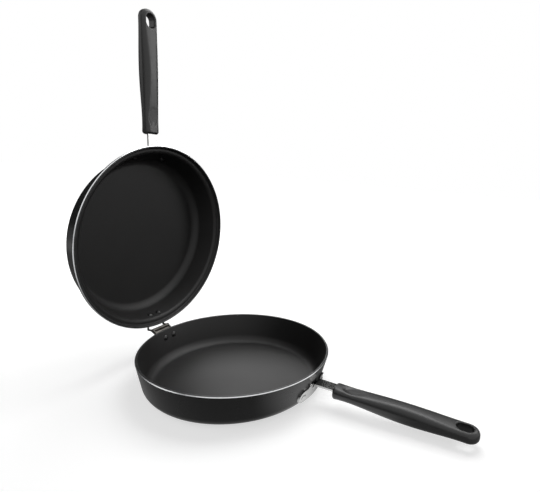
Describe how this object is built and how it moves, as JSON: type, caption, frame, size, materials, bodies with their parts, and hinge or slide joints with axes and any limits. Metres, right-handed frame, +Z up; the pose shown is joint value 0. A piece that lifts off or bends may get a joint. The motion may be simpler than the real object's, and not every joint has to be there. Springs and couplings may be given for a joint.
{
  "type": "double sided flip pan",
  "caption": "Two round frying pans hinged rim to rim, each with a grip on a riveted strap, so food is turned by flipping the shut pair over.",
  "frame": {"origin": "centre of the lower pan's flat underside", "axes": "+X from the hinge to the lower grip, Y along the hinge axis, +Z up"},
  "size_m": [0.4922, 0.2518, 0.4818],
  "materials": {
    "coated_aluminium": "black non-stick coat inside and black enamel outside over pressed aluminium, bare on the rim's chamfer",
    "bracket_steel": "stamped stainless steel, fine brushed",
    "rivet_steel": "plain steel rivets",
    "phenolic": "black moulded phenolic, satin",
    "screw_steel": "zinc plated steel",
    "hinge_steel": "stamped steel with a thin black coat",
    "coated_rivet": "aluminium rivets under the non-stick coat"
  },
  "bodies": {
    "lower_half": {"lower_pan": "coated_aluminium", "lower_handle_bracket": "bracket_steel", "lower_bracket_rivet_left": "rivet_steel", "lower_bracket_rivet_right": "rivet_steel", "lower_grip": "phenolic", "lower_grip_screw": "screw_steel", "lower_hinge_leaf": "hinge_steel", "lower_hinge_rivet_left": "coated_rivet", "lower_hinge_rivet_right": "coated_rivet", "hinge_pin": "hinge_steel"},
    "upper_half": {"upper_pan": "coated_aluminium", "upper_handle_bracket": "bracket_steel", "upper_bracket_rivet_left": "rivet_steel", "upper_bracket_rivet_right": "rivet_steel", "upper_grip": "phenolic", "upper_grip_screw": "screw_steel", "upper_hinge_leaf": "hinge_steel", "upper_hinge_rivet_left": "coated_rivet", "upper_hinge_rivet_right": "coated_rivet"}
  },
  "joints": [
    {"name": "hinge", "type": "hinge", "parent": "lower_half", "child": "upper_half", "pos_m": [-0.1318, 0, 0.0399], "axis": [0, -1, 0], "range_deg": [-92, 0]}
  ]
}
